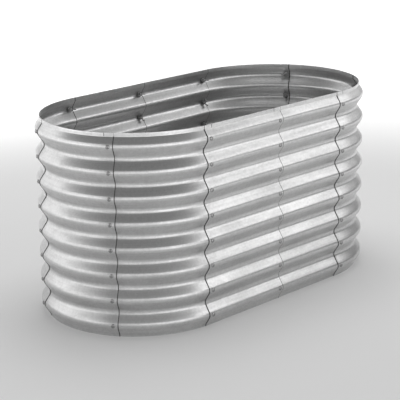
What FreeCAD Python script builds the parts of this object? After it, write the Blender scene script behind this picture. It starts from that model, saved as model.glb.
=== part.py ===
"""Raised garden bed: an oval wall of ten corrugated steel panels, lapped and bolted through their crests.

Millimetres, +Z up. The origin is on the ground at the middle of the oval. X runs along the two straight
sides, and places round the wall are distances along it, anticlockwise from above, from the back left corner.
Each panel is roll-formed sheet: ribs that run round the wall, a hem folded outwards along its top edge, and
a plain cut edge below. At each lap, one panel's sheet lies inside the other's.
"""

import FreeCAD, Part
import math
import os
from FreeCAD import Vector

# The oval, over the outer faces of the crests.
LENGTH = 1219.2
WIDTH = 609.6

# The corrugated sheet.
SHEET = 0.8
CREST_COUNT = 8
PITCH = 76.2
RIB_DEPTH = 19.0
RIB_RADIUS = 17.0

# The hem along the top edge: the sheet stands up, then folds outwards and down.
HEM_HEIGHT = 10.0
HEM_FOOT = 1.0
HEM_BEND = 3.0
HEM_GAP = 0.5
HEM_NOTCH = 1.5

# The laps, with the bolts along the middle of each.
LAP = 28.0
LAP_CLEARANCE = 0.1

# Bolts.
BOLT_DIAMETER = 6.0
BOLT_LENGTH = 16.0
BOLT_CHAMFER = 0.8
HEAD_DIAMETER = 12.5
HEAD_HEIGHT = 3.6
HEAD_RIM = 1.3
HOLE_CLEARANCE = 1.0

# Washers, inside the wall.
WASHER_DIAMETER = 18.0
WASHER_THICKNESS = 1.6
WASHER_BORE_CLEARANCE = 0.4

# Wing nuts: a tapered hub and two tongues.
NUT_BASE_DIAMETER = 12.0
NUT_TOP_DIAMETER = 10.0
NUT_HEIGHT = 8.0
NUT_BORE_CLEARANCE = 0.2
WING_SPAN = 30.0
WING_HEIGHT = 16.0
WING_THICKNESS = 2.4
WING_ROOT_RADIUS = 3.4
WING_TIP_RADIUS = 4.6
WING_SEAT_GAP = 0.8
NUT_TURN = 65.0
SEAT_CLEARANCE = 0.05

# The oval's two ends and two sides, anticlockwise from the back left corner: the kind of run, the side of the
# middle that it starts on, the angle of its outward face there, and each of its panels with the seam before it.
RUNS = (
    ("end", -1, 90.0, (
        ("back_left", "left_back_panel"),
        ("left_back", "left_middle_panel"),
        ("left_front", "left_front_panel"),
    )),
    ("side", -1, 270.0, (
        ("front_left", "front_left_panel"),
        ("front_middle", "front_right_panel"),
    )),
    ("end", 1, 270.0, (
        ("front_right", "right_front_panel"),
        ("right_front", "right_middle_panel"),
        ("right_back", "right_back_panel"),
    )),
    ("side", 1, 90.0, (
        ("back_right", "back_right_panel"),
        ("back_middle", "back_left_panel"),
    )),
)

# At a seam the panel before it lies outside, except at the two front corners, where the next one does.
NEXT_ONE_OUTSIDE = ("front_left", "front_right")

# Worked out from the sizes above.
RADIUS = WIDTH / 2
STRAIGHT = LENGTH - WIDTH
RUN_LENGTH = {"end": math.pi * RADIUS, "side": STRAIGHT}
PERIMETER = 2 * sum(RUN_LENGTH.values())
HEIGHT = CREST_COUNT * PITCH
CREST_HEIGHTS = [(row + 0.5) * PITCH for row in range(CREST_COUNT)]

# A flank touches both the crest's and the valley's circle, which gives its slope and its length.
CIRCLES_APART = math.hypot(PITCH / 2, RIB_DEPTH - 2 * RIB_RADIUS)
SLOPE = math.atan2(RIB_DEPTH - 2 * RIB_RADIUS, PITCH / 2) + math.asin(2 * RIB_RADIUS / CIRCLES_APART)
FLANK = math.sqrt(CIRCLES_APART**2 - (2 * RIB_RADIUS) ** 2)

# Lapped sheets nest, one this much further in than the other, so that their flanks just clear.
LAP_STEP = SHEET / math.cos(SLOPE) + LAP_CLEARANCE

# A washer's rim stops above and below the bolt on the hollow side of the crest.
HOLLOW = RIB_RADIUS - SHEET / 2
WASHER_STAND = HOLLOW - math.sqrt(HOLLOW**2 - (WASHER_DIAMETER / 2) ** 2) + SEAT_CLEARANCE
WASHER_DEPTH = SHEET + LAP_STEP + WASHER_STAND
NUT_DEPTH = WASHER_DEPTH + WASHER_THICKNESS + SEAT_CLEARANCE

UP = Vector(0, 0, 1)
OUT = Vector(1, 0, 0)
ALONG = Vector(0, 1, 0)
ORIGIN = Vector(0, 0, 0)


def placed(kind, side, angle, past):
    """The placement that brings what faces +X to a point past the start of a run, facing outwards."""
    x = side * STRAIGHT / 2
    if kind == "end":
        angle += math.degrees(past / RADIUS)
    else:
        x -= past * math.sin(math.radians(angle))
    return FreeCAD.Placement(Vector(x, 0, 0), FreeCAD.Rotation(UP, angle))


def runs_between(low, high):
    """The stretches of the runs between two distances round the wall, as (kind, length, placement)."""
    found = []
    start = -PERIMETER
    for kind, side, angle, _ in RUNS * 3:
        begin, end = max(low, start), min(high, start + RUN_LENGTH[kind])
        if begin < end:
            found.append((kind, end - begin, placed(kind, side, angle, begin - start)))
        start += RUN_LENGTH[kind]
    return found


def wall():
    """Each panel in order, with its seams' names, its stretch of the wall and the placement of its middle."""
    seams = [seam for run in RUNS for seam, _ in run[3]]
    found = []
    start = 0.0
    for kind, side, angle, rows in RUNS:
        length = RUN_LENGTH[kind] / len(rows)
        for number, (seam, panel) in enumerate(rows):
            next_seam = seams[(seams.index(seam) + 1) % len(seams)]
            middle = placed(kind, side, angle, (number + 0.5) * length)
            found.append((panel, kind, (seam, next_seam), start + number * length, length, middle))
        start += RUN_LENGTH[kind]
    return found


def seam_places():
    """Each seam's name, with the placement that faces its bolts outwards."""
    return {
        seam: placed(kind, side, angle, number * RUN_LENGTH[kind] / len(rows))
        for kind, side, angle, rows in RUNS
        for number, (seam, _) in enumerate(rows)
    }


def rib_moves():
    """The bends from the lower edge to the hem, as (radius, turn) or (length, 0). Outward turns are positive."""
    moves = [(RIB_RADIUS, SLOPE), (FLANK, 0)]
    for _ in range(CREST_COUNT - 1):
        moves += [(RIB_RADIUS, -2 * SLOPE), (FLANK, 0), (RIB_RADIUS, 2 * SLOPE), (FLANK, 0)]
    foot = HEIGHT - HEM_HEIGHT - HEM_FOOT
    flank_start = CREST_HEIGHTS[-1] + RIB_RADIUS * math.sin(SLOPE)
    flank = (foot - HEM_BEND * math.sin(SLOPE) - flank_start) / math.cos(SLOPE)
    upstand = HEIGHT - SHEET - HEM_GAP / 2 - foot
    return moves + [(RIB_RADIUS, -2 * SLOPE), (flank, 0), (HEM_BEND, SLOPE), (upstand, 0)]


def hem_moves():
    """The fold along the top edge: half a turn outwards, then down."""
    return [((HEM_GAP + SHEET) / 2, math.pi), (HEM_HEIGHT - SHEET - HEM_GAP / 2, 0)]


def walk(moves, x, z):
    """Follows moves up from a point of the sheet's middle line: for each, its turn, start, middle and end."""
    heading = 0.0
    steps = []
    for size, turn in moves:
        places = []
        for share in (0, 0.5, 1):
            turned = turn * share
            reach = 2 * size * math.sin(abs(turned) / 2) if turn else size * share
            way = heading + turned / 2
            places.append((x + reach * math.sin(way), z + reach * math.cos(way), heading + turned))
        steps.append((turn, places))
        x, z, heading = places[-1]
    return steps


def offset_edges(steps, offset):
    """The line that keeps this distance outwards of the middle line, as straight edges and arcs."""
    edges = []
    for turn, places in steps:
        start, middle, end = (
            Vector(x + offset * math.cos(way), 0, z - offset * math.sin(way)) for x, z, way in places
        )
        curve = Part.Arc(start, middle, end) if turn else Part.LineSegment(start, end)
        edges.append(curve.toShape())
    return edges


def closed_face(edges):
    """The flat face inside edges that meet end to end."""
    return Part.Face(Part.Wire(Part.__sortEdges__(edges)))


def sheet_section(steps):
    """The cut face of the sheet along these steps, square at both ends."""
    outer, inner = offset_edges(steps, SHEET / 2), offset_edges(steps, -SHEET / 2)
    lower = Part.makeLine(outer[0].Vertexes[0].Point, inner[0].Vertexes[0].Point)
    upper = Part.makeLine(outer[-1].Vertexes[-1].Point, inner[-1].Vertexes[-1].Point)
    return closed_face(outer + inner + [lower, upper])


def carried(section, low, high):
    """The section carried round the oval between two distances: straight on a side, turned on an end."""
    pieces = []
    for kind, length, place in runs_between(low, high):
        if kind == "end":
            piece = section.revolve(ORIGIN, UP, math.degrees(length / RADIUS))
        else:
            piece = section.extrude(ALONG * length)
        piece.Placement = place
        pieces.append(piece)
    return pieces


def bolt_holes(place):
    """A row of round holes, one through each crest of a seam."""
    radius = (BOLT_DIAMETER + HOLE_CLEARANCE) / 2
    start = RADIUS - RIB_DEPTH
    holes = Part.Compound(
        [Part.makeCylinder(radius, 2 * RIB_DEPTH, Vector(start, 0, z), OUT) for z in CREST_HEIGHTS]
    )
    holes.Placement = place
    return holes


def panel_solid(kind, seams, start, length, middle, places):
    """One panel. It slants by a lap's step between a seam where it lies inside and one where it lies outside."""
    outside = (seams[0] in NEXT_ONE_OUTSIDE, seams[1] not in NEXT_ONE_OUTSIDE)
    levels = [0.0 if out else -LAP_STEP for out in outside]
    hem_reach = [LAP / 2 if out else -LAP / 2 - HEM_NOTCH for out in outside]

    valley = RADIUS - SHEET / 2 - RIB_DEPTH + sum(levels) / 2
    ribs = walk(rib_moves(), valley, 0)
    hem = walk(hem_moves(), *ribs[-1][1][-1][:2])
    pieces = carried(sheet_section(ribs), start - LAP / 2, start + length + LAP / 2)
    pieces += carried(sheet_section(hem), start - hem_reach[0], start + length + hem_reach[1])
    solid = pieces[0].multiFuse(pieces[1:]).removeSplitter()

    step = levels[1] - levels[0]
    if kind == "end":
        way = middle.Rotation.multVec(ALONG)
        solid.translate(way * (step / (2 * math.sin(length / RADIUS / 2))))
    else:
        solid.rotate(middle.multVec(OUT * RADIUS), UP, -math.degrees(step / length))
    return solid.cut([bolt_holes(places[seam]) for seam in seams])


def pan_head_bolt():
    """A bolt along +X with a domed pan head, its seat at the origin: one turned shape."""
    shank, head = BOLT_DIAMETER / 2, HEAD_DIAMETER / 2
    outline = [
        (-BOLT_LENGTH, 0),
        (-BOLT_LENGTH, shank - BOLT_CHAMFER),
        (BOLT_CHAMFER - BOLT_LENGTH, shank),
        (0, shank),
        (0, head),
        (HEAD_RIM, head),
    ]
    points = [Vector(x, 0, z) for x, z in outline]
    edges = [Part.makeLine(a, b) for a, b in zip(points, points[1:])]
    crown = Vector(HEAD_HEIGHT, 0, 0)
    dome = (head**2 + (HEAD_HEIGHT - HEAD_RIM) ** 2) / (2 * (HEAD_HEIGHT - HEAD_RIM))
    half = math.asin(head / dome) / 2
    shoulder = Vector(HEAD_HEIGHT - dome * (1 - math.cos(half)), 0, dome * math.sin(half))
    edges += [Part.Arc(points[-1], shoulder, crown).toShape(), Part.makeLine(crown, points[0])]
    return closed_face(edges).revolve(ORIGIN, OUT, 360)


def washer():
    """A flat washer along -X from its seat on the sheet."""
    bore = (BOLT_DIAMETER + WASHER_BORE_CLEARANCE) / 2
    disc = Part.makeCylinder(WASHER_DIAMETER / 2, WASHER_THICKNESS, ORIGIN, -OUT)
    return disc.cut(Part.makeCylinder(bore, WASHER_THICKNESS, ORIGIN, -OUT))


def wing(side):
    """One tongue of a wing nut: a small and a large circle with the lines that touch both, given thickness."""
    root = Vector(-WING_SEAT_GAP - WING_ROOT_RADIUS, side * NUT_TOP_DIAMETER / 2, 0)
    tip = Vector(WING_TIP_RADIUS - WING_HEIGHT, side * (WING_SPAN / 2 - WING_TIP_RADIUS), 0)
    between = tip - root
    lean = math.atan2(between.y, between.x)
    spread = math.acos((WING_ROOT_RADIUS - WING_TIP_RADIUS) / between.Length)

    def on(centre, radius, angle):
        return centre + Vector(radius * math.cos(angle), radius * math.sin(angle), 0)

    root_a, root_b = (on(root, WING_ROOT_RADIUS, lean + turn) for turn in (spread, -spread))
    tip_a, tip_b = (on(tip, WING_TIP_RADIUS, lean + turn) for turn in (spread, -spread))
    edges = [
        Part.Arc(tip_b, on(tip, WING_TIP_RADIUS, lean), tip_a).toShape(),
        Part.makeLine(tip_a, root_a),
        Part.Arc(root_a, on(root, WING_ROOT_RADIUS, lean + math.pi), root_b).toShape(),
        Part.makeLine(root_b, tip_b),
    ]
    tongue = closed_face(edges).extrude(UP * WING_THICKNESS)
    tongue.translate(UP * (-WING_THICKNESS / 2))
    return tongue


def wing_nut():
    """A wing nut along -X from its seat on the washer."""
    hub = Part.makeCone(NUT_BASE_DIAMETER / 2, NUT_TOP_DIAMETER / 2, NUT_HEIGHT, ORIGIN, -OUT)
    bore = (BOLT_DIAMETER + NUT_BORE_CLEARANCE) / 2
    body = hub.multiFuse([wing(side) for side in (-1, 1)])
    return body.cut(Part.makeCylinder(bore, WING_HEIGHT, ORIGIN, -OUT))


def down_the_seam(shape, place, depth, turn):
    """A copy of the shape at each crest of a seam, this far in from the outer sheet, each below turned further."""
    copies = []
    for row, z in enumerate(reversed(CREST_HEIGHTS)):
        spin = FreeCAD.Rotation(OUT, turn * row)
        copy = shape.copy()
        copy.Placement = place.multiply(FreeCAD.Placement(Vector(RADIUS - depth, 0, z), spin))
        copies.append(copy)
    return Part.Compound(copies)


def main():
    os.makedirs("parts", exist_ok=True)
    places = seam_places()
    nodes = {panel: panel_solid(*about, places) for panel, *about in wall()}
    bolt, ring, nut = pan_head_bolt(), washer(), wing_nut()
    for seam, place in places.items():
        nodes[f"bolts_{seam}"] = down_the_seam(bolt, place, -SEAT_CLEARANCE, 0)
        nodes[f"washers_{seam}"] = down_the_seam(ring, place, WASHER_DEPTH, 0)
        nodes[f"wing_nuts_{seam}"] = down_the_seam(nut, place, NUT_DEPTH, NUT_TURN)
    for node, shape in nodes.items():
        shape.exportStep(f"parts/{node}.step")


main()
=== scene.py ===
"""The looks of a raised garden bed: an oval wall of ten corrugated galvanised panels, lapped and bolted.

Metres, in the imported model's frame: +Z up, the origin on the ground at the middle of the oval, +X along the
straight sides. A place round the wall is a distance along it, anticlockwise from above, from the back left
corner. A section is walked up from the wall's lower edge as bends and straights of the sheet's middle line.
"""

import math

import bpy
import numpy as np
from bpy.props import FloatProperty, FloatVectorProperty, IntProperty, PointerProperty
from mathutils import Matrix, Vector


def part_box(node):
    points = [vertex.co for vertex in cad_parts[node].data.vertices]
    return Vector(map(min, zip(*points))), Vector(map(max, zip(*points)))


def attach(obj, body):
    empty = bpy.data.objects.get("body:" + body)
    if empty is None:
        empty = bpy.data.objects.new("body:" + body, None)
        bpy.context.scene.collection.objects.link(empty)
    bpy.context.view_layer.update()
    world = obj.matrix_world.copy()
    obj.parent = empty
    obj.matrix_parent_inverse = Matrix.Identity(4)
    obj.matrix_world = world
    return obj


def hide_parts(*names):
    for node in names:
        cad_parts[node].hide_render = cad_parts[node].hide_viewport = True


bl_info = {
    "name": "Corrugated garden bed",
    "version": (1, 0, 0),
    "blender": (4, 5, 0),
    "location": "View3D > Sidebar > Garden bed",
    "description": "Dresses the packed garden bed: ribbed panels, bolts, washers, wing nuts and a plain studio",
    "category": "Object",
}

BODY = "root"

# The finishes made here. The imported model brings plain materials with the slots' own names.
SHEET_FINISH = "bright_galvanised_sheet"
PLATE_FINISH = "bright_zinc_plate"

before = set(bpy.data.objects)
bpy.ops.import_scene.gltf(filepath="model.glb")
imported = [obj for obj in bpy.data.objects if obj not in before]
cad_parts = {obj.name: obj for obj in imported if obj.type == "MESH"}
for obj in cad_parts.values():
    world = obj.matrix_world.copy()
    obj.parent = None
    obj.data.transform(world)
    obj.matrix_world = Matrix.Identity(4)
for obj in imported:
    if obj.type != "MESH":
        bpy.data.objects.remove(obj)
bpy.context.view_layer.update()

# Seams in order round the wall, the panel that follows each, and the seams where that panel is the outer sheet.
SEAMS = ("back_left", "left_back", "left_front", "front_left", "front_middle",
         "front_right", "right_front", "right_back", "back_right", "back_middle")
PANELS = ("left_back", "left_middle", "left_front", "front_left", "front_right",
          "right_front", "right_middle", "right_back", "back_right", "back_left")
NEXT_ONE_OUTSIDE = ("front_left", "front_right")
PANELS_PER_END = 3
PANELS_PER_SIDE = 2

# Steps of a bend, of the fold in the hem and of a flank, and the longest step along an end and along a side.
BEND_STEPS = 8
FOLD_STEPS = 10
FLANK_STEPS = 2
STRAIGHT_STEPS = 2
STEP_ON_END = 0.0135
STEP_ON_SIDE = 0.05
SHARP_ANGLE = math.radians(38)

# Two columns of the hem lie at least this far apart, and a stretch's length is rounded by this share of a step.
LEAST_STEP = 0.0005
ROUNDING = 1e-9

# The share of a lap's spring that is left at a crest, where the bolts hold it, and where its columns lie, as
# shares of the way from the tight strip to the free edge.
CREST_SPRING = 0.3
SPRING_COLUMNS = (0, 1 / 3, 2 / 3, 1)

# How much of a cut edge's near black colour the strip beside it and the strip along a lap have: painted shade of
# the lap's gap, with some scuffed zinc beside the edge.
SCUFF_AND_SHADE = 0.85

# Steps round a bolt, a washer and a nut's hub, along a wing and round it, and rows to a turn of the thread.
BOLT_STEPS = 48
WASHER_STEPS = 40
NUT_STEPS = 32
WING_ROWS = 18
WING_STEPS = 20
THREAD_ROWS = 5

# The rows of a bolt's dome, as shares of its radius, and where its upright edge ends, as a share of the rim.
DOME_ROWS = (0.98, 0.92, 0.82, 0.7, 0.6, 0.52, 0.45, 0.38, 0.31, 0.24, 0.17, 0.1, 0.04)
RIM_END = 0.9

# The cross recess: how steep its arms' sides are, and its depth at the centre before it is kept to the full one.
RECESS_STEEP = 1.6
RECESS_CENTRE = 1.15

# The part of a wing's length that its rows span, as shares of half a turn.
WING_SPAN_KEPT = (0.09, 0.91)

# Patterns in the zinc, in cells per metre along the ribs and across them, and what each counts in the wear.
STREAKS = (1.8, 150.0, 1.0)
CLOUDS = (7.0, 16.0, 1.0)
CRYSTALS = (170.0, 170.0, 1.0)
WAVES = (9.0, 14.0, 1.0)
STREAK_PART, CLOUD_PART, CRYSTAL_PART = 0.45, 0.4, 0.15
WEAR_RANGE = (0.35, 0.65)
WORN_ROUGHNESS = (1.15, 0.85)
CUT_ROUGHNESS = 0.25

# Patterns in the plate, in cells per metre, what each counts, and how dull and rough its blotches are.
BLOTCHES = (240.0, 240.0, 240.0)
SCRATCHES = (900.0, 900.0, 2600.0)
BLOTCH_PART, SCRATCH_PART = 0.7, 0.3
PLATE_RANGE = (0.3, 0.7)
PLATE_DULL = 0.78
PLATE_ROUGH = 1.3
SCRATCH_BUMP = 0.00002

# The camera's sensor and how far it sees, and the points along an edge of the floor.
SENSOR_WIDTH = 36.0
SIGHT = 200.0
FLOOR_POINTS = 5

# Watts per square metre at which a soft lamp looks as bright as white, and how far the lamps stand and how high
# they aim.
LAMP_WATTS = 4.0
LAMP_DISTANCE = 3.2
LAMP_AIM = 0.3


def size(name, default, text):
    """A length that the sidebar shows in scene units."""
    return FloatProperty(name=name, description=text, default=default, min=0.0, precision=5, unit="LENGTH")


def share(name, default, text, top=1.0):
    """A plain number from nought to the top."""
    return FloatProperty(name=name, description=text, default=default, min=0.0, max=top, precision=3)


def grey(name, level, text):
    """A neutral colour."""
    return FloatVectorProperty(name=name, description=text, default=(level,) * 3, subtype="COLOR", min=0.0,
                               max=1.0)


class BedWall(bpy.types.PropertyGroup):
    """Sizes of the corrugated sheet and of its laps."""

    sheet: size("Sheet", 0.0008, "Thickness of the steel")
    crest_count: IntProperty(name="Crests", description="Crests from the ground to the rim", default=8, min=1)
    rib_depth: size("Rib depth", 0.019, "From a valley to a crest")
    rib_radius: size("Rib radius", 0.017, "Bend of the sheet's middle line at crests and valleys")
    hem_height: size("Hem height", 0.010, "Height of the folded flap")
    hem_foot: size("Hem foot", 0.001, "Upright sheet under the flap")
    hem_bend: size("Hem bend", 0.003, "Bend where the last flank turns upright")
    hem_gap: size("Hem gap", 0.0005, "Between the flap and the upright sheet")
    hem_notch: size("Hem notch", 0.0015, "The inner sheet's flap stops this far short of the outer sheet's edge")
    lap: size("Lap", 0.028, "How far two panels overlap")
    lap_clearance: size("Lap clearance", 0.0001, "Between nested sheets")
    spring: size("Spring", 0.0006, "How far the free edge of a lapped sheet stands off in the valleys")
    spring_start: size("Spring start", 0.004, "A lap is tight this close to its bolts")
    # Painted shade of the lap's gap, partly scuffed zinc, in a strip along a sheared edge.
    scuffed_shaded_edge: size("Dark edge", 0.0012, "Width of the scuffed zinc along a sheared edge")
    # A painted shadow in a strip where a lapped edge meets the other sheet.
    lap_shadow: size("Stain", 0.0022, "Width of the stain where a lapped edge meets the other sheet")
    hole: size("Bolt hole", 0.007, "Diameter of the holes through the crests")


class BedFasteners(bpy.types.PropertyGroup):
    """Sizes of the bolts, washers and wing nuts."""

    bolt: size("Bolt", 0.006, "Diameter over the thread")
    bolt_length: size("Bolt length", 0.016, "Under the head")
    bolt_chamfer: size("Bolt chamfer", 0.0008, "At the end of the bolt")
    thread_pitch: size("Thread pitch", 0.001, "Advance of the thread in a turn")
    thread_depth: size("Thread depth", 0.0004, "From the thread's crest to its root")
    thread_shown: size("Thread shown", 0.003, "Threaded end that shows past the nut")
    head: size("Head", 0.0125, "Diameter of the pan head")
    head_height: size("Head height", 0.0036, "From the seat to the crown")
    head_rim: size("Head rim", 0.0013, "Upright edge of the head")
    recess_reach: size("Recess reach", 0.0032, "Half the span of the cross recess")
    recess_width: size("Recess width", 0.0013, "Width of one arm of the cross recess")
    recess_depth: size("Recess depth", 0.0019, "Depth of the cross recess")
    washer: size("Washer", 0.018, "Outer diameter")
    washer_bore: size("Washer bore", 0.0064, "Inner diameter")
    washer_thickness: size("Washer thickness", 0.0016, "Along the bolt")
    washer_edge: size("Washer edge", 0.0003, "Rounded edge of the washer")
    nut_base: size("Nut base", 0.012, "Diameter of the hub at the washer")
    nut_top: size("Nut top", 0.010, "Diameter of the hub at its end")
    nut_height: size("Nut height", 0.008, "Of the hub")
    nut_bore: size("Nut bore", 0.0062, "Through the hub")
    nut_edge: size("Nut edge", 0.0008, "Rounded edge of the hub")
    wing_span: size("Wing span", 0.030, "Over both wings")
    wing_height: size("Wing height", 0.016, "From the washer to the wings' tips")
    wing_thickness: size("Wing thickness", 0.0024, "At the middle of a wing")
    wing_root: size("Wing root", 0.0034, "Half the height of a wing at the hub")
    wing_tip: size("Wing tip", 0.0046, "Half the height of a wing at its end")
    wing_seat_gap: size("Wing seat gap", 0.0008, "From the washer to the wings")
    nut_turn: FloatProperty(name="Nut turn", default=math.radians(65), subtype="ANGLE",
                            description="Each wing nut is turned this much more than the one above")
    seat: size("Seat clearance", 0.00005, "Between pieces that seat on each other")


class BedFinish(bpy.types.PropertyGroup):
    """The zinc on the sheet and on the fasteners."""

    sheet_colour: grey("Sheet", 0.68, "Bright galvanised sheet")
    sheet_dull: grey("Dull sheet", 0.55, "Streaks and clouds in the zinc")
    # Near black: partly the dull sheared steel, partly painted shade of the gaps at the laps.
    edge_and_shade_colour: grey("Cut edge", 0.04, "Sheared edges of the sheet")
    sheet_roughness: share("Sheet roughness", 0.35, "Gloss of the sheet")
    streak_bump: size("Streak bump", 0.00004, "Height of the rolling streaks")
    wave_bump: size("Wave bump", 0.0003, "Height of the sheet's slow waves")
    plate_colour: grey("Plate", 0.40, "Bright zinc plate")
    plate_roughness: share("Plate roughness", 0.25, "Gloss of the plate")


class BedStudio(bpy.types.PropertyGroup):
    """The floor, the lamps and the camera."""

    camera_place: FloatVectorProperty(name="Camera", description="Where the camera stands",
                                      default=(-3.2602, -3.0609, 1.5370), subtype="TRANSLATION", unit="LENGTH")
    camera_yaw: FloatProperty(name="Yaw", description="From +Y towards +X", default=math.radians(46.50),
                              subtype="ANGLE")
    camera_pitch: FloatProperty(name="Pitch", description="Downwards", default=math.radians(15.85),
                                subtype="ANGLE")
    camera_roll: FloatProperty(name="Roll", description="About the line of sight", default=math.radians(-0.79),
                               subtype="ANGLE")
    lens: FloatProperty(name="Lens", description="Focal length on a 36 mm sensor", default=130.94, unit="CAMERA")
    floor_reach: size("Floor reach", 30.0, "Half the floor's width")
    floor_colour: grey("Floor", 0.66, "Plain pale floor")
    glow_near: share("Near glow", 0.08, "The floor's own white round the bed, where the lamps light it")
    glow_far: share("Far glow", 1.0, "The floor's own white past the lamps")
    near: size("Near", 1.4, "How far from the bed's middle the near glow reaches")
    far: size("Far", 4.0, "Where the far glow starts")
    sky: share("Sky", 0.18, "Level of the room all round")


# The soft lamps: the azimuth from -Y towards +X and the elevation of each, its width and height, all in degrees
# as seen from the bed, and its level, where 1 looks white.
SOFT_LAMPS = {
    "back_left_panel": (-160, 19, 38, 34, 0.90),
    "left_panel": (-112, 14, 58, 32, 0.85),
    "near_panel": (-48, 14, 44, 28, 0.70),
    "front_panel": (-2, 12, 48, 32, 1.00),
    "right_softbox": (46, 27, 46, 20, 1.25),
    "far_right_panel": (100, 22, 44, 26, 0.60),
    "back_right_panel": (147, 18, 46, 34, 1.20),
    "overhead_softbox": (120, 80, 44, 44, 2.00),
}


# ---- Round the wall ------------------------------------------------------------------------------------------


class Oval:
    """The wall's plan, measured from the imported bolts: an end is half a circle, a side is straight."""

    def __init__(self, fasteners):
        low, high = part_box("bolts_front_left")
        self.radius = -low.y - fasteners.head_height - fasteners.seat
        self.straight = -(low.x + high.x)
        self.height = low.z + high.z
        self.end = math.pi * self.radius
        self.half = self.end + self.straight

    def seam(self, number):
        """Distance round the wall to a seam. The ends and sides are shared evenly among their panels."""
        lap, number = divmod(number, len(SEAMS))
        turn, number = divmod(number, PANELS_PER_END + PANELS_PER_SIDE)
        on_end = min(number, PANELS_PER_END) / PANELS_PER_END * self.end
        on_side = max(number - PANELS_PER_END, 0) / PANELS_PER_SIDE * self.straight
        return (2 * lap + turn) * self.half + on_end + on_side

    def at(self, distance):
        """For distances round the wall: the x of the point that it faces away from, and the angle it faces.

        Over an end the point stays and the angle grows by distance / radius. Over a side the angle stays and the
        point moves along. The second half of the oval is the first one turned half round.
        """
        turns, past = np.divmod(distance, self.half)
        angle = math.pi / 2 + np.minimum(past, self.end) / self.radius + math.pi * turns
        x = (np.maximum(past - self.end, 0) - self.straight / 2) * np.where(turns % 2, -1, 1)
        return x, angle


def stations(marks, longest):
    """Distances through all the marks, with even steps between them no longer than the longest."""
    marks = sorted(marks)
    stretches = [
        np.linspace(low, high, max(1, math.ceil((high - low) / longest - ROUNDING)), endpoint=False)
        for low, high in zip(marks, marks[1:])
    ]
    return np.concatenate(stretches + [[marks[-1]]])


# ---- The sheet's section -------------------------------------------------------------------------------------


def rib_slope(wall, pitch):
    """The flanks' slope and length: a flank is the line that touches both a crest's and a valley's circle."""
    rise = wall.rib_depth - 2 * wall.rib_radius
    apart = math.hypot(pitch / 2, rise)
    slope = math.atan2(rise, pitch / 2) + math.asin(2 * wall.rib_radius / apart)
    return slope, math.sqrt(apart**2 - (2 * wall.rib_radius) ** 2)


def rib_moves(wall, height):
    """The walk from the lower edge to the hem: (bend radius or length, turn, steps), outward turns positive."""
    pitch = height / wall.crest_count
    slope, flank = rib_slope(wall, pitch)
    crest, valley = (wall.rib_radius, -2 * slope, BEND_STEPS), (wall.rib_radius, 2 * slope, BEND_STEPS)
    straight = (flank, 0, FLANK_STEPS)
    moves = [(wall.rib_radius, slope, BEND_STEPS // 2), straight]
    moves += [crest, straight, valley, straight] * (wall.crest_count - 1)
    foot = height - wall.hem_height - wall.hem_foot
    last_crest = height - pitch / 2 + wall.rib_radius * math.sin(slope)
    last_flank = (foot - wall.hem_bend * math.sin(slope) - last_crest) / math.cos(slope)
    upstand = height - wall.sheet - wall.hem_gap / 2 - foot
    top = (wall.hem_bend, slope, BEND_STEPS // 2), (upstand, 0, STRAIGHT_STEPS)
    return moves + [crest, (last_flank, 0, FLANK_STEPS), *top]


def hem_moves(wall):
    """The fold along the top edge: half a turn outwards, then down."""
    return [
        ((wall.hem_gap + wall.sheet) / 2, math.pi, FOLD_STEPS),
        (wall.hem_height - wall.sheet - wall.hem_gap / 2, 0, STRAIGHT_STEPS),
    ]


def walk(moves, x, z):
    """Follows the moves from a point: rows of x, z, heading from upright, and distance walked.

    After a turn t on a bend of radius r the chord is 2 r sin(|t| / 2), in the direction heading + t / 2.
    """
    heading, walked = 0.0, 0.0
    rows = [np.array([[x, z, heading, walked]])]
    for reach, turn, steps in moves:
        part = np.arange(1, steps + 1) / steps
        turned = turn * part
        chord = 2 * reach * np.sin(np.abs(turned) / 2) if turn else reach * part
        way = heading + turned / 2
        along = reach * (abs(turn) if turn else 1.0) * part
        place = [x + chord * np.sin(way), z + chord * np.cos(way)]
        row = np.stack([*place, heading + turned, walked + along], axis=1)
        rows.append(row)
        x, z, heading, walked = row[-1]
    return np.concatenate(rows)


# ---- Meshes --------------------------------------------------------------------------------------------------


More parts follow.
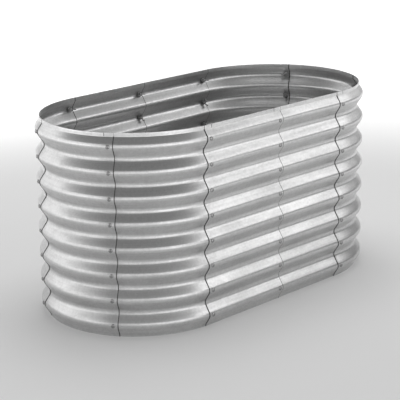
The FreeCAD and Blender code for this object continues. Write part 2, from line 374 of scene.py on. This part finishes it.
class Shell:
    """Points, faces and surface places of a piece, gathered part by part as whole arrays."""

    def __init__(self):
        self.points, self.faces, self.places, self.edge_and_shade_parts = [], [], [], []
        self.count = 0

    def add(self, points, faces, places, edge_and_shade_parts=None):
        """One closed part: its points, blocks of faces as rows of corners, surface places, and how much each face
        takes of the near black cut edge colour, which is partly painted shade.
        """
        self.points.append(points)
        self.faces.extend((block + self.count) for block in faces)
        self.edge_and_shade_parts.extend([np.zeros(len(block)) for block in faces] if edge_and_shade_parts is None else edge_and_shade_parts)
        self.places.append(places)
        self.count += len(points)

    def build(self, name, material, nodes):
        """The piece as an object at the origin, smooth but for sharp edges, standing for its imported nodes."""
        points = np.concatenate(self.points)
        places = np.concatenate(self.places)
        corners = np.concatenate([block.ravel() for block in self.faces])
        sizes = np.concatenate([np.full(len(block), block.shape[1]) for block in self.faces])
        mesh = bpy.data.meshes.new(name)
        mesh.vertices.add(len(points))
        mesh.vertices.foreach_set("co", points.astype(np.float32).ravel())
        mesh.loops.add(len(corners))
        mesh.loops.foreach_set("vertex_index", corners.astype(np.int32))
        mesh.polygons.add(len(sizes))
        mesh.polygons.foreach_set("loop_start", np.concatenate([[0], np.cumsum(sizes)[:-1]]).astype(np.int32))
        uv = mesh.uv_layers.new(name="UVMap")
        uv.data.foreach_set("uv", places[corners].astype(np.float32).ravel())
        # Each face's share of the near black edge colour: the sheared edges, and the strips of painted shade
        # along the laps.
        edge = mesh.attributes.new("cut_edge_and_shade", "FLOAT", "FACE")
        edge.data.foreach_set("value", np.concatenate(self.edge_and_shade_parts).astype(np.float32))
        mesh.update(calc_edges=True)
        if mesh.validate():
            raise RuntimeError(f"{name} has a face that isn't valid")
        mesh.shade_smooth()
        mesh.set_sharp_from_angle(angle=SHARP_ANGLE)
        mesh.materials.append(material)
        piece = bpy.data.objects.new(name, mesh)
        bpy.context.scene.collection.objects.link(piece)
        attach(piece, BODY)
        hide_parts(*nodes)
        return piece


def grid_faces(index):
    """The faces of a grid of point numbers, each with its corners in the order row, column, next row."""
    return np.stack([index[:-1, :-1], index[:-1, 1:], index[1:, 1:], index[1:, :-1]], axis=-1).reshape(-1, 4)


def band(first, second):
    """The faces between two rows of point numbers."""
    return np.stack([first[:-1], first[1:], second[1:], second[:-1]], axis=-1)


def sprung(wall, distances, seams, outside, shares):
    """How far a sheet stands off its lap: outwards where it is the outer one, inwards where it is the inner one.

    Past a seam's tight strip it grows with the square of the distance, and each row has its share of it.
    """
    (start, end), (out_at_start, out_at_end) = seams, outside
    free = wall.lap / 2 - wall.spring_start
    before = np.clip((start - distances - wall.spring_start) / free, 0, 1) ** 2
    after = np.clip((distances - end - wall.spring_start) / free, 0, 1) ** 2
    lift = before * (1 if out_at_start else -1) + after * (1 if out_at_end else -1)
    return wall.spring * shares[:, None] * lift


def lap_scuff_and_shade(wall, distances, seams, outside):
    """How dark each column of faces is, on the outer and the inner skin: painted shade of the lap's gap, partly
    scuffed zinc, beside the sheet's own cut edge, and a painted shadow where the other sheet's edge meets it.
    """
    middle = (distances[1:] + distances[:-1]) / 2
    dark = np.zeros((2, len(middle)))
    for past, out in zip((middle - seams[0], seams[1] - middle), outside):
        own, met = (0, 1) if out else (1, 0)
        # Painted shade: a strip beside the sheet's own cut edge, partly scuffing, and a painted shadow just past
        # the other sheet's edge.
        dark[own] += SCUFF_AND_SHADE * (past < wall.scuffed_shaded_edge - wall.lap / 2)
        dark[met] += SCUFF_AND_SHADE * (np.abs(past - (wall.lap + wall.lap_shadow) / 2) < wall.lap_shadow / 2)
    return dark


def carried_sheet(oval, wall, line, distances, lift, dark, holes=()):
    """The sheet along a walked line, carried round the wall: an outer and an inner skin, with its edges closed.

    A point at distance s and walked row (x, z, heading) lies at x outwards of the point that the wall faces away
    from, at height z, half the sheet and the lift off the middle line along (cos heading, -sin heading). Holes
    are pairs of a column and a row of the grid: the eight points round that one are moved to the hole's circle,
    the four faces at it are left out and a wall joins the two skins. Dark is how dark each column of faces is.
    """
    rows, columns = len(line), len(distances)
    offset = np.array([0.5, -0.5])[:, None] * wall.sheet
    x, z, heading, walked = line.T
    off_line = offset[..., None] + lift
    out = x[:, None] + off_line * np.cos(heading)[:, None]
    up = z[:, None] - off_line * np.sin(heading)[:, None]
    place = np.broadcast_to(distances, (2, rows, columns)).copy()
    kept = np.ones((rows - 1, columns - 1), bool)
    index = np.arange(2 * rows * columns).reshape(2, rows, columns)
    faces = []
    ring = np.array([(-1, -1), (-1, 0), (-1, 1), (0, 1), (1, 1), (1, 0), (1, -1), (0, -1), (-1, -1)])
    for column, row in holes:
        near = ring / np.hypot(*ring.T)[:, None] * wall.hole / 2
        at = (slice(None), row + ring[:, 0], column + ring[:, 1])
        bend = wall.rib_radius + offset
        out[at] = line[row, 0] - wall.rib_radius + np.sqrt(bend**2 - near[:, 0] ** 2)
        up[at] = line[row, 1] + near[:, 0]
        place[at] = distances[column] + near[:, 1]
        kept[row - 1 : row + 1, column - 1 : column + 1] = False
        faces.append(band(index[0][at[1:]], index[1][at[1:]]))
    faces.append(grid_faces(index[0])[kept.ravel()])
    faces.append(grid_faces(index[1])[kept.ravel()][:, ::-1])
    edge_and_shade_parts = [np.zeros(len(block)) for block in faces[:-2]]
    # The skins' dark columns: strips of painted shade along the laps.
    edge_and_shade_parts += [np.broadcast_to(skin, kept.shape)[kept] for skin in dark]
    rims = [
        band(index[1, 0], index[0, 0]),
        band(index[0, -1], index[1, -1]),
        band(index[0, :, 0], index[1, :, 0]),
        band(index[1, :, -1], index[0, :, -1]),
    ]
    centre, angle = oval.at(place)
    points = np.stack([centre + out * np.cos(angle), out * np.sin(angle), up], axis=-1).reshape(-1, 3)
    places = np.stack([place, np.broadcast_to(walked[:, None], place.shape)], axis=-1).reshape(-1, 2)
    return points, faces + rims, places, edge_and_shade_parts + [np.ones(len(rim)) for rim in rims]


def panel(oval, wall, number, material):
    """One panel: its ribs with the holes, and its folded hem.

    Nested sheets lie one lap step apart. A panel that is outside at one seam and inside at the other slants by
    that step: on an end it is moved along its middle's tangent, on a side it is turned about its middle.
    """
    start, end = oval.seam(number), oval.seam(number + 1)
    slope, _ = rib_slope(wall, oval.height / wall.crest_count)
    lap_step = wall.sheet / math.cos(slope) + wall.lap_clearance
    outside = (SEAMS[number] in NEXT_ONE_OUTSIDE, SEAMS[(number + 1) % len(SEAMS)] not in NEXT_ONE_OUTSIDE)
    levels = [0.0 if out else -lap_step for out in outside]
    on_end = number % (PANELS_PER_END + PANELS_PER_SIDE) < PANELS_PER_END
    longest = STEP_ON_END if on_end else STEP_ON_SIDE

    valley = oval.radius - wall.sheet / 2 - wall.rib_depth + sum(levels) / 2
    ribs = walk(rib_moves(wall, oval.height), valley, 0.0)
    ring = wall.hole / 2 * math.sin(math.pi / 4)
    marks = [at + past for at in (start, end) for past in (-ring, 0, ring)]
    marks += [at + way * (wall.spring_start + (wall.lap / 2 - wall.spring_start) * part)
              for at, way in ((start, -1), (end, 1)) for part in SPRING_COLUMNS]
    # Columns at the edges of the strips of painted shade along the laps.
    marks += [start - wall.lap / 2 + wall.scuffed_shaded_edge, end + wall.lap / 2 - wall.scuffed_shaded_edge]
    marks += [start + wall.lap / 2, start + wall.lap / 2 + wall.lap_shadow]
    marks += [end - wall.lap / 2, end - wall.lap / 2 - wall.lap_shadow]
    columns = stations(marks, longest)
    crest_rows = BEND_STEPS + FLANK_STEPS + 2 * (BEND_STEPS + FLANK_STEPS) * np.arange(wall.crest_count)
    holes = [(int(np.argmin(np.abs(columns - at))), row) for at in (start, end) for row in crest_rows]

    hem = walk(hem_moves(wall), *ribs[-1, :2])
    hem[:, 3] += ribs[-1, 3]
    reach = [wall.lap / 2 if out else -wall.lap / 2 - wall.hem_notch for out in outside]
    hem_ends = (start - reach[0], end + reach[1])
    between = [at for at in columns if hem_ends[0] + LEAST_STEP < at < hem_ends[1] - LEAST_STEP]
    hem_columns = stations([*hem_ends, *between], longest)
    held = 1 - (1 - CREST_SPRING) * np.clip((ribs[:, 0] - valley) / wall.rib_depth, 0, 1)
    parts = ((ribs, columns, held, holes), (hem, hem_columns, np.full(len(hem), held[-1]), ()))

    x, angle = oval.at((start + end) / 2)
    facing = np.array([math.cos(angle), math.sin(angle)])
    along = np.array([-math.sin(angle), math.cos(angle)])
    step = levels[1] - levels[0]
    shell = Shell()
    for line, distances, shares, bored in parts:
        lift = sprung(wall, distances, (start, end), outside, shares)
        dark = lap_scuff_and_shade(wall, distances, (start, end), outside)
        points, faces, places, edge_and_shade_parts = carried_sheet(oval, wall, line, distances, lift, dark, bored)
        if on_end:
            points[:, :2] += along * step / (2 * math.sin((end - start) / oval.radius / 2))
        else:
            pivot = np.array([x, 0.0]) + facing * oval.radius
            turn = -step / (end - start)
            cosine, sine = math.cos(turn), math.sin(turn)
            points[:, :2] = (points[:, :2] - pivot) @ np.array([[cosine, sine], [-sine, cosine]]) + pivot
        shell.add(points, faces, places, edge_and_shade_parts)
    name = PANELS[number]
    return shell.build(f"{name}_sheet", material, [f"{name}_panel"])


# ---- Fasteners -----------------------------------------------------------------------------------------------


def turned(outline, steps):
    """An outline of (x, radius) turned round the x axis: (x, radius cos angle, radius sin angle)."""
    x, radius = np.array(outline).T[:, :, None]
    angle = np.arange(steps) * 2 * math.pi / steps
    return np.stack([x + 0 * angle, radius * np.cos(angle), radius * np.sin(angle)], axis=-1)


def wrapped(points, closed):
    """A grid that closes round its columns, as (points, faces, places). Its rows close too, or get end faces."""
    rows, columns = points.shape[:2]
    index = np.arange(rows * columns).reshape(rows, columns)
    index = np.concatenate([index, index[:, :1]], axis=1)
    faces = [grid_faces(np.concatenate([index, index[:1]]) if closed else index)]
    if not closed:
        faces += [index[:1, :-1][:, ::-1], index[-1:, :-1]]
    points = points.reshape(-1, 3)
    return points, faces, points[:, 1:]


def recess(sizes, y, z):
    """Depth of the cross recess at a point of the head.

    Each arm is deepest on its middle line and at the centre: a smooth step u u (3 - 2 u) across, and the centre's
    depth less the square of the distance along.
    """
    half = sizes.recess_width / 2
    depths = []
    for along, across in ((y, z), (z, y)):
        inside = np.clip(2 - np.abs(across) / half * RECESS_STEEP, 0, 1)
        taper = np.clip(RECESS_CENTRE - (along / sizes.recess_reach) ** 2, 0, 1)
        depths.append(inside * inside * (3 - 2 * inside) * taper)
    return sizes.recess_depth * np.maximum(*depths)


def bolt_parts(sizes):
    """A pan head bolt along +x, seated at the origin: domed head with a cross recess, and a threaded end.

    Dome: a sphere through the rim and the crown. Thread: the radius less its depth times
    (1 - cos(2 pi x / pitch - angle)) / 2.
    """
    shank, head = sizes.bolt / 2, sizes.head / 2
    rise = sizes.head_height - sizes.head_rim
    dome = (head**2 + rise**2) / (2 * rise)
    tip = np.arange(0, sizes.thread_shown, sizes.thread_pitch / THREAD_ROWS)
    tip = tip + sizes.bolt_chamfer - sizes.bolt_length
    outline = [(-sizes.bolt_length, shank - sizes.bolt_chamfer)]
    outline += [(x, shank) for x in tip]
    outline += [(0, shank), (0, head), (sizes.head_rim * RIM_END, head)]
    first_on_dome = len(outline)
    for part in DOME_ROWS:
        radius = head * part
        outline.append((sizes.head_height - dome + math.sqrt(dome**2 - radius**2), radius))
    points = turned(outline, BOLT_STEPS)
    threaded = points[1 : 1 + len(tip)]
    wave = 2 * math.pi * threaded[..., 0] / sizes.thread_pitch - np.arctan2(threaded[..., 2], threaded[..., 1])
    threaded[..., 1:] *= 1 - sizes.thread_depth / shank * (1 - np.cos(wave))[..., None] / 2
    top = points[first_on_dome:]
    top[..., 0] -= recess(sizes, top[..., 1], top[..., 2])
    return [wrapped(points, False)]


def washer_parts(sizes):
    """A flat ring along -x from its seat, with rounded edges."""
    outer, bore = sizes.washer / 2, sizes.washer_bore / 2
    thick, edge = sizes.washer_thickness, sizes.washer_edge
    soft = edge * (1 - math.sqrt(0.5))
    outline = [
        (-thick, bore + edge), (-thick, (bore + outer) / 2), (-thick, outer - edge),
        (soft - thick, outer - soft), (edge - thick, outer), (-edge, outer), (-soft, outer - soft),
        (0, outer - edge), (0, (bore + outer) / 2), (0, bore + edge), (-soft, bore + soft), (-edge, bore),
        (edge - thick, bore), (soft - thick, bore + soft),
    ]
    return [wrapped(turned(outline, WASHER_STEPS), True)]


def wing(sizes, side):
    """One wing: rounded blocks carried from the hub outwards.

    At distance t from the root circle's centre its half height is that circle's, then the line that touches both
    circles, then the tip circle's. Across, a section is |a / half height|^4 + |b / half thickness|^4 = 1.
    """
    root = np.array([-sizes.wing_seat_gap - sizes.wing_root, side * sizes.nut_top / 2])
    tip = np.array([sizes.wing_tip - sizes.wing_height, side * (sizes.wing_span / 2 - sizes.wing_tip)])
    length = np.linalg.norm(tip - root)
    way = (tip - root) / length
    across = np.array([-way[1], way[0]])
    lean = (sizes.wing_root - sizes.wing_tip) / length
    turn = np.linspace(*WING_SPAN_KEPT, WING_ROWS) * math.pi
    reach = (length + sizes.wing_root + sizes.wing_tip) / 2
    t = (length + sizes.wing_tip - sizes.wing_root) / 2 - reach * np.cos(turn)
    on_root = np.sqrt(np.maximum(sizes.wing_root**2 - t**2, 0))
    on_tip = np.sqrt(np.maximum(sizes.wing_tip**2 - (t - length) ** 2, 0))
    on_line = (sizes.wing_root - t * lean) / math.sqrt(1 - lean**2)
    half = np.where(t > length + sizes.wing_tip * lean, on_tip, on_line)
    half = np.where(t < sizes.wing_root * lean, on_root, half)
    thick = sizes.wing_thickness / 2 * np.sqrt(half / half.max())
    angle = np.arange(WING_STEPS) * 2 * math.pi / WING_STEPS
    cosine, sine = np.cos(angle), np.sin(angle)
    a = half[:, None] * np.sign(cosine) * np.sqrt(np.abs(cosine))
    b = thick[:, None] * np.sign(sine) * np.sqrt(np.abs(sine))
    flat = root + t[:, None, None] * way + a[..., None] * across
    return wrapped(np.concatenate([flat, b[..., None]], axis=-1), False)


def nut_parts(sizes):
    """A wing nut along -x from its seat: a tapered hub with rounded edges and a plain bore, and two wings."""
    base, top, bore = sizes.nut_base / 2, sizes.nut_top / 2, sizes.nut_bore / 2
    tall, edge = sizes.nut_height, sizes.nut_edge
    soft = edge * (1 - math.sqrt(0.5))
    outline = [
        (-tall, bore + edge / 2), (-tall, top - edge), (soft - tall, top - soft), (edge - tall, top),
        (-tall / 2, (base + top) / 2), (-edge, base), (-soft, base - soft), (0, base - edge),
        (0, bore + edge / 2), (-edge / 2, bore), (edge / 2 - tall, bore),
    ]
    return [wrapped(turned(outline, NUT_STEPS), True), wing(sizes, -1), wing(sizes, 1)]


def down_the_seam(oval, wall, number, parts, depth, turn, piece, material):
    """Eight copies of a fastener at a seam's crests, each turned further than the one above, as one piece."""
    shell = Shell()
    x, angle = oval.at(oval.seam(number))
    pitch = oval.height / wall.crest_count
    for row in range(wall.crest_count):
        spin = Matrix.Rotation(turn * row, 3, "X")
        face = Matrix.Rotation(angle, 3, "Z")
        place = Vector((oval.radius - depth, 0, oval.height - (row + 0.5) * pitch))
        move = np.array(face @ place + Vector((x, 0, 0)))
        for points, faces, places in parts:
            shell.add(points @ np.array(face @ spin).T + move, faces, places)
    name = f"{piece}_{SEAMS[number]}"
    return shell.build(f"{name}_detailed", material, [name])


def depths(oval, wall, sizes):
    """How far in from the outer sheet washers and nuts sit. A washer's rim meets the hollow of a crest."""
    slope, _ = rib_slope(wall, oval.height / wall.crest_count)
    sheets = 2 * wall.sheet + wall.sheet * (1 / math.cos(slope) - 1) + wall.lap_clearance
    hollow = wall.rib_radius - wall.sheet / 2
    stand = hollow - math.sqrt(hollow**2 - (sizes.washer / 2) ** 2) + sizes.seat
    washer = sheets + stand
    return washer, washer + sizes.washer_thickness + sizes.seat


# ---- Finishes ------------------------------------------------------------------------------------------------


class Finish:
    """A material under construction: its tree, its shader and short ways to add nodes."""

    def __init__(self, name):
        self.material = bpy.data.materials.new(name)
        self.material.use_nodes = True
        self.tree = self.material.node_tree
        self.shader = self.tree.nodes["Principled BSDF"]

    def node(self, kind, inputs=None, **settings):
        """A node with its settings, and its inputs as numbers or as the sockets that feed them."""
        made = self.tree.nodes.new(f"ShaderNode{kind}")
        for name, value in settings.items():
            setattr(made, name, value)
        for name, value in (inputs or {}).items():
            self.feed(made.inputs[name], value)
        return made

    def feed(self, socket, value):
        """Links a socket to the value, or sets the value on it."""
        if isinstance(value, bpy.types.NodeSocket):
            self.tree.links.new(value, socket)
        else:
            socket.default_value = value

    def noise(self, place, scale, detail=2.0, rough=0.5):
        """Noise over a place that is scaled along each axis, in cells per metre."""
        mapped = self.node("Mapping", {"Vector": place, "Scale": scale})
        made = self.node("TexNoise", {"Vector": mapped.outputs["Vector"], "Scale": 1.0, "Detail": detail,
                                      "Roughness": rough})
        return made.outputs["Fac"]

    def ranged(self, value, low, high, to_low, to_high):
        """The value's stretch from low to high, moved to another stretch and kept inside it."""
        made = self.node("MapRange", {"Value": value, "From Min": low, "From Max": high, "To Min": to_low,
                                      "To Max": to_high})
        return made.outputs["Result"]

    def mixed(self, part, first, second):
        """Two colours mixed."""
        made = self.node("Mix", {0: part, 6: first, 7: second}, data_type="RGBA")
        return made.outputs[2]

    def maths(self, operation, first, second):
        """Two values put through one operation."""
        return self.node("Math", {0: first, 1: second}, operation=operation).outputs[0]

    def weighed(self, first, first_part, second, second_part):
        """Two values added, each by its part."""
        first, second = self.maths("MULTIPLY", first, first_part), self.maths("MULTIPLY", second, second_part)
        return self.maths("ADD", first, second)


def opaque(colour):
    """A colour with full alpha."""
    return (*colour, 1.0)


def sheet_finish(settings):
    """Galvanised sheet: streaks along the ribs, slow clouds, a faint grain of zinc crystals, near black cut edges
    that are partly painted shade, and strips of painted shade along the laps.
    """
    finish = Finish(SHEET_FINISH)
    place = finish.node("UVMap").outputs["UV"]
    streaks = finish.noise(place, STREAKS, detail=4.0, rough=0.6)
    clouds = finish.noise(place, CLOUDS)
    crystals = finish.node("Mapping", {"Vector": place, "Scale": CRYSTALS})
    grain = finish.node("TexVoronoi", {"Vector": crystals.outputs["Vector"], "Scale": 1.0}).outputs["Color"]
    grain = finish.node("SeparateColor", {"Color": grain}).outputs[0]
    wear = finish.weighed(streaks, STREAK_PART, clouds, CLOUD_PART)
    wear = finish.maths("ADD", wear, finish.maths("MULTIPLY", grain, CRYSTAL_PART))
    part = finish.ranged(wear, *WEAR_RANGE, 0.0, 1.0)
    colour = finish.mixed(part, opaque(settings.sheet_dull), opaque(settings.sheet_colour))
    # Cut edges and the strips of painted shade along the laps take the near black edge colour.
    cut = finish.node("Attribute", attribute_name="cut_edge_and_shade").outputs["Fac"]
    colour = finish.mixed(cut, colour, opaque(settings.edge_and_shade_colour))
    roughness = finish.ranged(wear, *WEAR_RANGE, *(settings.sheet_roughness * times for times in WORN_ROUGHNESS))
    roughness = finish.maths("ADD", roughness, finish.maths("MULTIPLY", cut, CUT_ROUGHNESS))
    waves = finish.noise(place, WAVES, detail=0.0)
    slow = finish.node("Bump", {"Height": waves, "Distance": settings.wave_bump})
    fine = finish.node("Bump", {"Height": streaks, "Distance": settings.streak_bump,
                                "Normal": slow.outputs["Normal"]})
    for socket, value in (("Base Color", colour), ("Roughness", roughness), ("Metallic", 1.0),
                          ("Normal", fine.outputs["Normal"])):
        finish.feed(finish.shader.inputs[socket], value)
    return finish.material


def plate_finish(settings):
    """Zinc plate on the fasteners: small blotches and fine scratches from the tumbling barrel."""
    finish = Finish(PLATE_FINISH)
    place = finish.node("TexCoord").outputs["Object"]
    blotches = finish.noise(place, BLOTCHES)
    scratches = finish.noise(place, SCRATCHES, detail=1.0)
    part = finish.weighed(blotches, BLOTCH_PART, scratches, SCRATCH_PART)
    bright = settings.plate_colour
    dull = [level * PLATE_DULL for level in bright]
    colour = finish.mixed(finish.ranged(part, *PLATE_RANGE, 0.0, 1.0), opaque(dull), opaque(bright))
    rough = settings.plate_roughness
    roughness = finish.ranged(part, *PLATE_RANGE, rough * PLATE_ROUGH, rough)
    bump = finish.node("Bump", {"Height": scratches, "Distance": SCRATCH_BUMP})
    for socket, value in (("Base Color", colour), ("Roughness", roughness), ("Metallic", 1.0),
                          ("Normal", bump.outputs["Normal"])):
        finish.feed(finish.shader.inputs[socket], value)
    return finish.material


# ---- Studio --------------------------------------------------------------------------------------------------


def lamp(name, azimuth, elevation, width, height, level):
    """A soft rectangular lamp that faces the bed and looks this bright. The camera doesn't see it."""
    turn, rise = math.radians(azimuth), math.radians(elevation)
    way = Vector((math.sin(turn) * math.cos(rise), -math.cos(turn) * math.cos(rise), math.sin(rise)))
    light = bpy.data.lights.new(name, "AREA")
    light.shape = "RECTANGLE"
    light.size = 2 * LAMP_DISTANCE * math.tan(math.radians(width) / 2)
    light.size_y = 2 * LAMP_DISTANCE * math.tan(math.radians(height) / 2)
    light.energy = level * LAMP_WATTS * light.size * light.size_y
    made = bpy.data.objects.new(name, light)
    made.location = way * LAMP_DISTANCE + Vector((0, 0, LAMP_AIM))
    made.rotation_euler = (-way).to_track_quat("-Z", "Y").to_euler()
    made.visible_camera = False
    bpy.context.scene.collection.objects.link(made)


def level_square(name, reach, material):
    """A level square of the stage about the origin: a grid of points (x, y, 0) as far as the reach."""
    across, along = np.meshgrid(*[np.linspace(-reach, reach, FLOOR_POINTS)] * 2)
    points = np.stack([across, along, 0 * along], axis=-1).reshape(-1, 3)
    mesh = bpy.data.meshes.new(name)
    mesh.from_pydata(points, [], grid_faces(np.arange(len(points)).reshape(across.shape)).tolist())
    mesh.materials.append(material)
    made = bpy.data.objects.new(name, mesh)
    bpy.context.scene.collection.objects.link(made)


def floor_finish(settings):
    """A plain pale floor, lit near the bed. Its own white, for the camera and in reflections, grows outwards."""
    finish = Finish("pale_floor")
    path = finish.node("LightPath").outputs
    seen = finish.maths("MAXIMUM", path["Is Camera Ray"],
                        finish.maths("MAXIMUM", path["Is Glossy Ray"], path["Is Transmission Ray"]))
    place = finish.node("TexCoord").outputs["Object"]
    away = finish.node("VectorMath", {0: place}, operation="LENGTH").outputs["Value"]
    glow = finish.node("MapRange", {"Value": away, "From Min": settings.near, "From Max": settings.far,
                                    "To Min": settings.glow_near, "To Max": settings.glow_far},
                       interpolation_type="SMOOTHSTEP").outputs["Result"]
    finish.feed(finish.shader.inputs["Base Color"], opaque(settings.floor_colour))
    finish.feed(finish.shader.inputs["Roughness"], 1.0)
    finish.feed(finish.shader.inputs["Specular IOR Level"], 0.0)
    finish.feed(finish.shader.inputs["Emission Color"], (1.0, 1.0, 1.0, 1.0))
    finish.feed(finish.shader.inputs["Emission Strength"], finish.maths("MULTIPLY", seen, glow))
    return finish.material


def even_world(level):
    """The room all round: one plain level of light."""
    world = bpy.data.worlds.new("studio")
    world.use_nodes = True
    background = world.node_tree.nodes["Background"].inputs
    background["Color"].default_value = (1.0, 1.0, 1.0, 1.0)
    background["Strength"].default_value = level
    bpy.context.scene.world = world


def studio_camera(settings):
    """The camera at the photograph's place: turned by the yaw, then the pitch, then the roll."""
    data = bpy.data.cameras.new("camera")
    data.sensor_width = SENSOR_WIDTH
    data.lens = settings.lens
    data.clip_end = SIGHT
    camera = bpy.data.objects.new("camera", data)
    camera.matrix_world = (
        Matrix.Translation(settings.camera_place)
        @ Matrix.Rotation(-settings.camera_yaw, 4, "Z")
        @ Matrix.Rotation(math.pi / 2 - settings.camera_pitch, 4, "X")
        @ Matrix.Rotation(settings.camera_roll, 4, "Z")
    )
    bpy.context.scene.collection.objects.link(camera)
    bpy.context.scene.camera = camera


# ---- Operators -----------------------------------------------------------------------------------------------


class BedOperator:
    """What the bed's operators share: their sizes, and the finish that several of them use."""

    bl_options = {"REGISTER", "UNDO"}

    @staticmethod
    def settings(context):
        scene = context.scene
        return Oval(scene.bed_fasteners), scene.bed_wall, scene.bed_fasteners

    @staticmethod
    def finish(name, make, context):
        """The material of that name, made once."""
        return bpy.data.materials.get(name) or make(context.scene.bed_finish)


class BED_OT_panels(BedOperator, bpy.types.Operator):
    """Make the ten corrugated wall panels"""

    bl_idname = "bed.panels"
    bl_label = "Wall panels"

    def execute(self, context):
        oval, wall, _ = self.settings(context)
        material = self.finish(SHEET_FINISH, sheet_finish, context)
        for number in range(len(PANELS)):
            panel(oval, wall, number, material)
        return {"FINISHED"}


class BED_OT_bolts(BedOperator, bpy.types.Operator):
    """Make the pan head bolts"""

    bl_idname = "bed.bolts"
    bl_label = "Bolts"

    def execute(self, context):
        oval, wall, sizes = self.settings(context)
        material = self.finish(PLATE_FINISH, plate_finish, context)
        parts = bolt_parts(sizes)
        for number in range(len(SEAMS)):
            down_the_seam(oval, wall, number, parts, -sizes.seat, 0.0, "bolts", material)
        return {"FINISHED"}


class BED_OT_washers(BedOperator, bpy.types.Operator):
    """Make the flat washers inside the wall"""

    bl_idname = "bed.washers"
    bl_label = "Washers"

    def execute(self, context):
        oval, wall, sizes = self.settings(context)
        material = self.finish(PLATE_FINISH, plate_finish, context)
        parts = washer_parts(sizes)
        depth, _ = depths(oval, wall, sizes)
        for number in range(len(SEAMS)):
            down_the_seam(oval, wall, number, parts, depth, 0.0, "washers", material)
        return {"FINISHED"}


class BED_OT_wing_nuts(BedOperator, bpy.types.Operator):
    """Make the wing nuts inside the wall"""

    bl_idname = "bed.wing_nuts"
    bl_label = "Wing nuts"

    def execute(self, context):
        oval, wall, sizes = self.settings(context)
        material = self.finish(PLATE_FINISH, plate_finish, context)
        parts = nut_parts(sizes)
        _, depth = depths(oval, wall, sizes)
        for number in range(len(SEAMS)):
            down_the_seam(oval, wall, number, parts, depth, sizes.nut_turn, "wing_nuts", material)
        return {"FINISHED"}


class BED_OT_stage(BedOperator, bpy.types.Operator):
    """Make the floor, the lamps, the world and the camera"""

    bl_idname = "bed.stage"
    bl_label = "Studio"

    def execute(self, context):
        settings = context.scene.bed_studio
        level_square("floor", settings.floor_reach, floor_finish(settings))
        even_world(settings.sky)
        studio_camera(settings)
        for name, shape in SOFT_LAMPS.items():
            lamp(name, *shape)
        context.scene.view_settings.view_transform = "Standard"
        return {"FINISHED"}


class BED_PT_sidebar(bpy.types.Panel):
    """The bed's operators and their settings"""

    bl_label = "Garden bed"
    bl_idname = "BED_PT_sidebar"
    bl_space_type = "VIEW_3D"
    bl_region_type = "UI"
    bl_category = "Garden bed"

    def draw(self, context):
        for operator in OPERATORS:
            self.layout.operator(operator.bl_idname)
        for group in GROUPS:
            box = self.layout.box()
            settings = getattr(context.scene, group)
            for name in settings.bl_rna.properties.keys():
                if name not in ("rna_type", "name"):
                    box.prop(settings, name)


GROUPS = {"bed_wall": BedWall, "bed_fasteners": BedFasteners, "bed_finish": BedFinish, "bed_studio": BedStudio}
OPERATORS = (BED_OT_panels, BED_OT_bolts, BED_OT_washers, BED_OT_wing_nuts, BED_OT_stage)


def register():
    for made in (*GROUPS.values(), *OPERATORS, BED_PT_sidebar):
        bpy.utils.register_class(made)
    for name, group in GROUPS.items():
        setattr(bpy.types.Scene, name, PointerProperty(type=group))


def unregister():
    for name in GROUPS:
        delattr(bpy.types.Scene, name)
    for made in reversed((*GROUPS.values(), *OPERATORS, BED_PT_sidebar)):
        bpy.utils.unregister_class(made)


def main():
    """Makes every piece and the stage."""
    register()
    bpy.ops.bed.panels()
    bpy.ops.bed.bolts()
    bpy.ops.bed.washers()
    bpy.ops.bed.wing_nuts()
    bpy.ops.bed.stage()


if __name__ == "__main__":
    main()
